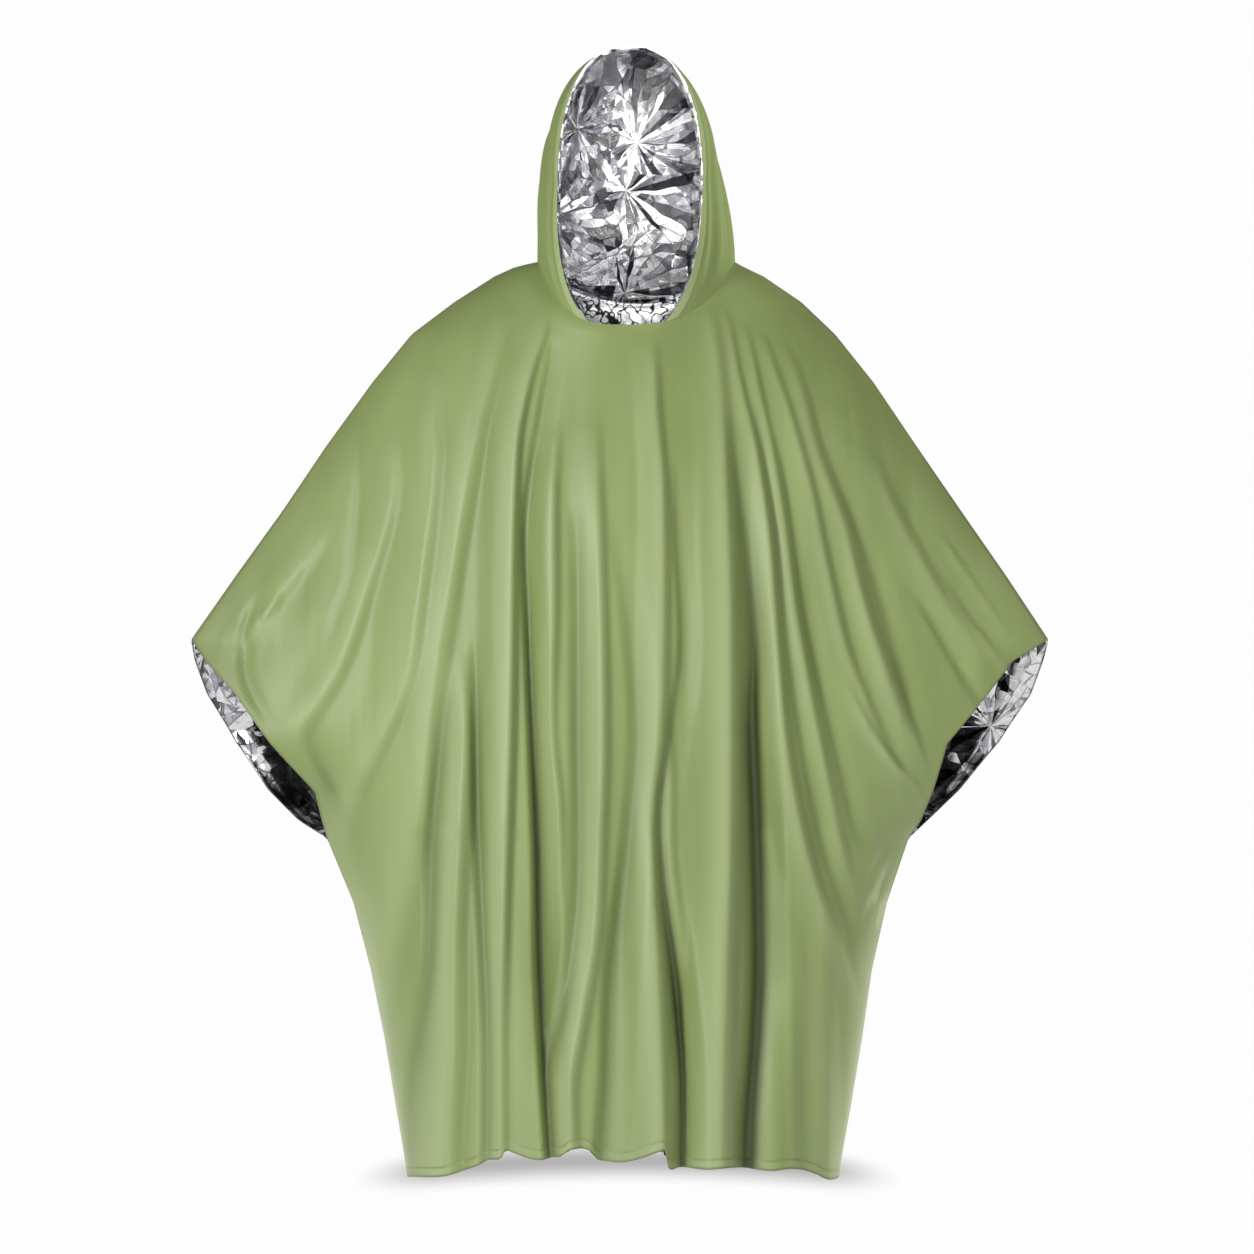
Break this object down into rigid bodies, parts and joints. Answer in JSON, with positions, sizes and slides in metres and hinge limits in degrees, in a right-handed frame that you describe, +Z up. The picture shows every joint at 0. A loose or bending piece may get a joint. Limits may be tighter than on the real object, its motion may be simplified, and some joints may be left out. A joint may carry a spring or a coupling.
{
  "type": "hooded rain poncho",
  "caption": "Long rain poncho filled as worn with nobody in it: film shell with foil lining, wide open sleeves and a hood with an open face.",
  "frame": {"origin": "middle of the neck, level with the side neck points, where the wearer's shoulders carry the garment", "axes": "+Z up, +X to the right of a viewer who faces the front, -Y out of the front"},
  "size_m": [1.072, 0.3523, 1.4032],
  "materials": {
    "film": "smooth satin green film",
    "foil": "bright crinkled silver foil"
  },
  "bodies": {
    "root": {"front_panel": "film", "back_panel": "film", "hood_left": "film", "hood_right": "film", "front_lining": "foil", "back_lining": "foil", "hood_lining_left": "foil", "hood_lining_right": "foil"}
  },
  "joints": []
}
